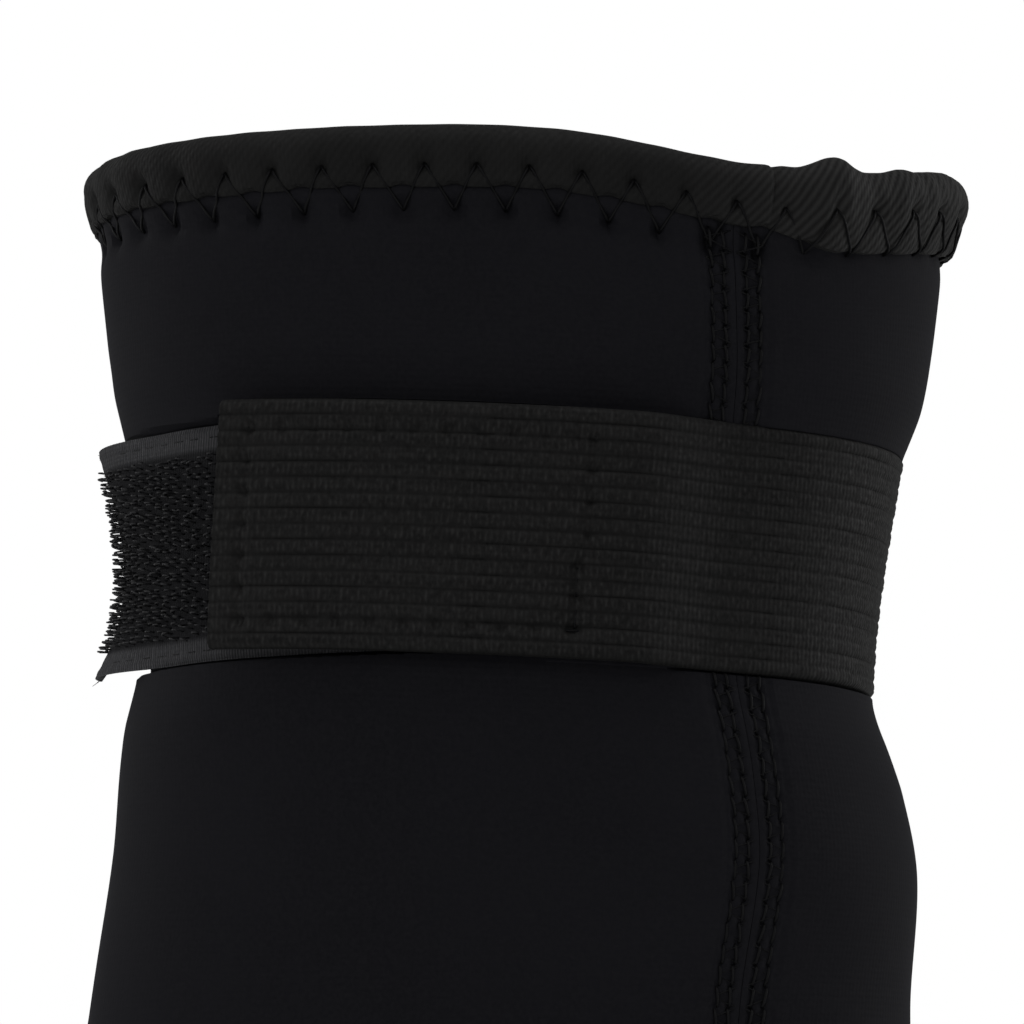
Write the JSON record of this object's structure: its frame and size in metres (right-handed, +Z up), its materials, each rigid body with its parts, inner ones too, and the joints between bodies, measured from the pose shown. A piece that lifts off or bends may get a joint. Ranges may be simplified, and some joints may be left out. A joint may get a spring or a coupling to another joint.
{
  "type": "wrist support brace",
  "caption": "Tubular neoprene wrist support with bound rims, a thumb opening and an elastic hook-and-loop wrap strap.",
  "frame": {"origin": "middle of the base, on the plane that the hand end's rim rests on", "axes": "+Z up the forearm, +X to the little-finger side, -Y to the front where the strap fastens"},
  "size_m": [0.0916, 0.061, 0.137],
  "materials": {
    "jersey": "matt bluish-black nylon jersey laminated on neoprene foam",
    "binding": "matt black folded knit tape",
    "thread": "black sewing thread with a faint shine",
    "elastic": "black ribbed woven elastic",
    "hook_tape": "dark grey woven tape",
    "hooks": "black nylon hooks, slightly glossy",
    "loop": "black brushed loop pile"
  },
  "bodies": {
    "sleeve": {"main_panel": "jersey", "side_panel": "jersey", "front_seam_left_row": "thread", "front_seam_right_row": "thread", "back_seam_left_row": "thread", "back_seam_right_row": "thread", "forearm_binding": "binding", "forearm_binding_stitching": "thread", "hand_binding": "binding", "hand_binding_stitching": "thread", "thumb_binding": "binding", "thumb_binding_stitching": "thread", "hook_tape": "hook_tape", "hook_field": "hooks", "hook_tape_stitching": "thread", "strap_anchor": "elastic", "anchor_box_stitch": "thread"},
    "strap_wrap": {"strap_band": "elastic"},
    "strap_tip": {"strap_end": "elastic", "loop_patch": "loop", "strap_end_box_stitch": "thread"}
  },
  "joints": [
    {"name": "strap_swing", "type": "hinge", "parent": "sleeve", "child": "strap_wrap", "pos_m": [0.03813, -0.00266, 0.09588], "axis": [0.1338, -0.0068, 0.991], "range_deg": [0, 100]},
    {"name": "strap_tip_peel", "type": "hinge", "parent": "strap_wrap", "child": "strap_tip", "pos_m": [0.00984, -0.0281, 0.09716], "axis": [0.056, -0.0535, 0.997], "range_deg": [0, 110]}
  ]
}
